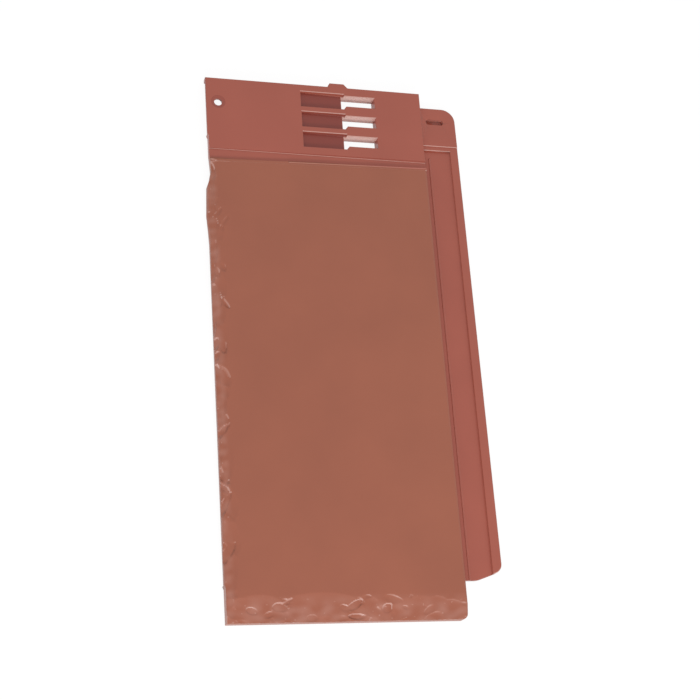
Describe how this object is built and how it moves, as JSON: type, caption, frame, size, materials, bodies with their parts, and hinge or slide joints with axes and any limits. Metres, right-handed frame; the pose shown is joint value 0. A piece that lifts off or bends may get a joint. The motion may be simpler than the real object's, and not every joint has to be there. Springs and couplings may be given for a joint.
{
  "type": "half roof slate",
  "caption": "Narrow moulded roof slate with riven edges, hooking slots and a nail hole in its head, and a channelled strip that laps under its neighbour.",
  "frame": {"origin": "on the ground, under the middle of the outline, with the slate lying face up on its skirts", "axes": "+Z out of the face, +Y from the tail towards the head, +X across towards the underlap strip"},
  "size_m": [0.1862, 0.383, 0.0094],
  "materials": {
    "slate_polymer": "terracotta polymer, moulded with a satin face and riven edges"
  },
  "bodies": {
    "root": {"half_slate": "slate_polymer"}
  },
  "joints": []
}
